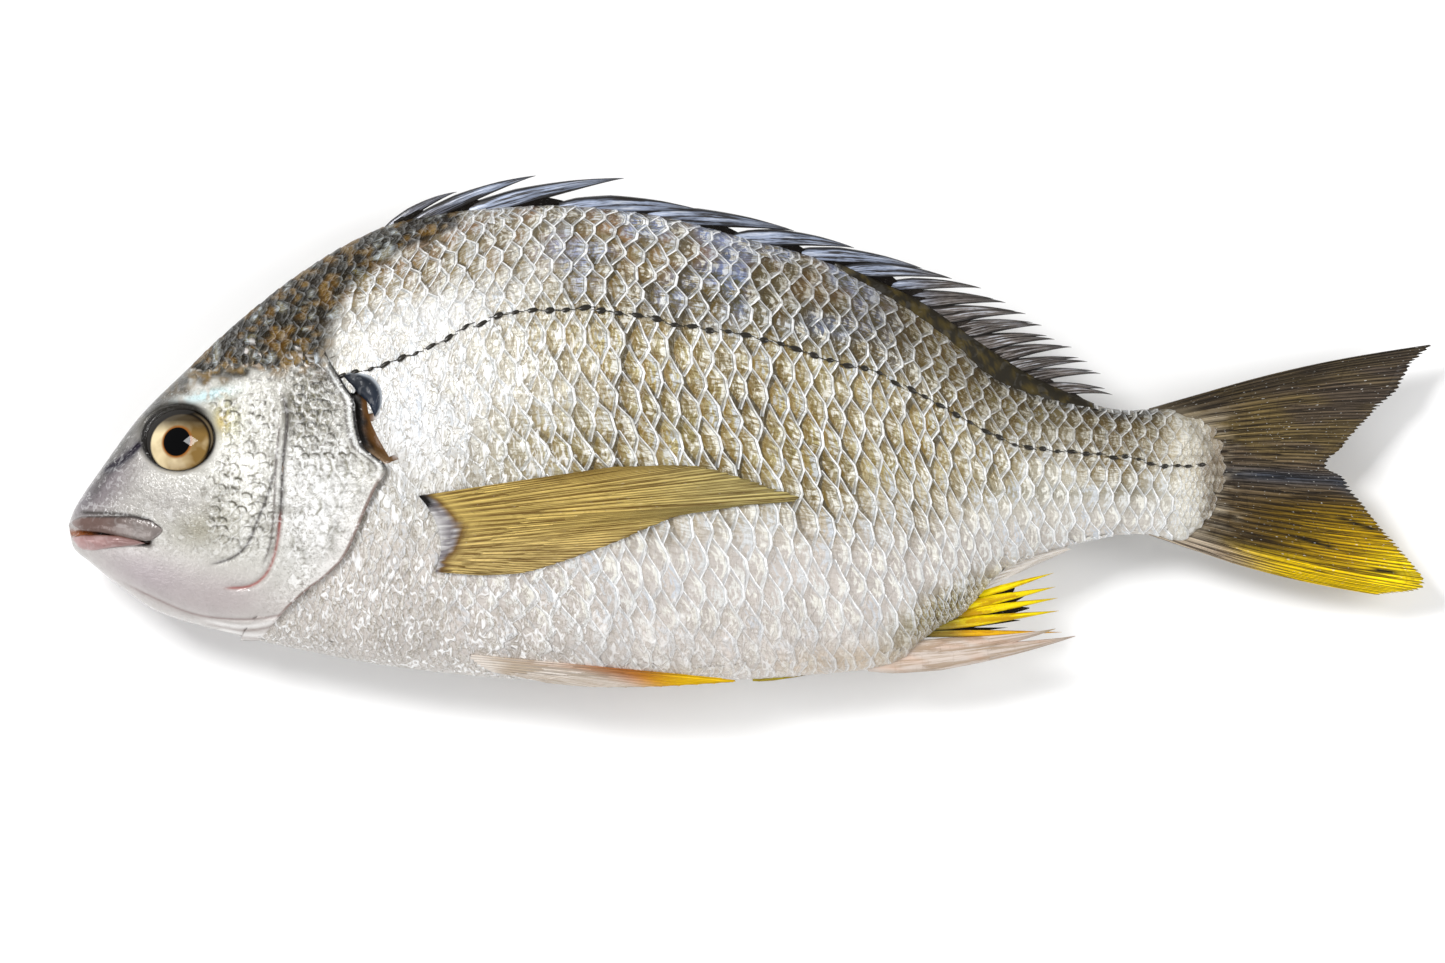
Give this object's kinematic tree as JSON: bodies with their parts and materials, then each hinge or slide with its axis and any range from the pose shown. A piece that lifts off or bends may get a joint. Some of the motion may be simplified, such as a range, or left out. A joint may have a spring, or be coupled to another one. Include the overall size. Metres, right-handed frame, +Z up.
{
  "type": "whole raw fish",
  "caption": "Whole raw sea bream with head, scales and fins on, lying on its side, for a fish stall, kitchen or plate.",
  "frame": {"origin": "on the table, under the middle of the fish's box", "axes": "+X from the snout to the tail, +Y from the belly to the back, +Z up from the table; the left side is up"},
  "size_m": [0.32, 0.1198, 0.0433],
  "materials": {
    "skin": "wet silver scales, olive-grey on the back and pinkish white on the belly",
    "fin": "damp rayed web, olive-brown to yellow, slightly see-through at the tips",
    "eye": "clear wet dome over a gold iris and a black pupil",
    "lip": "bare wet skin, grey-pink"
  },
  "bodies": {
    "root": {"fish": "skin"}
  },
  "joints": []
}
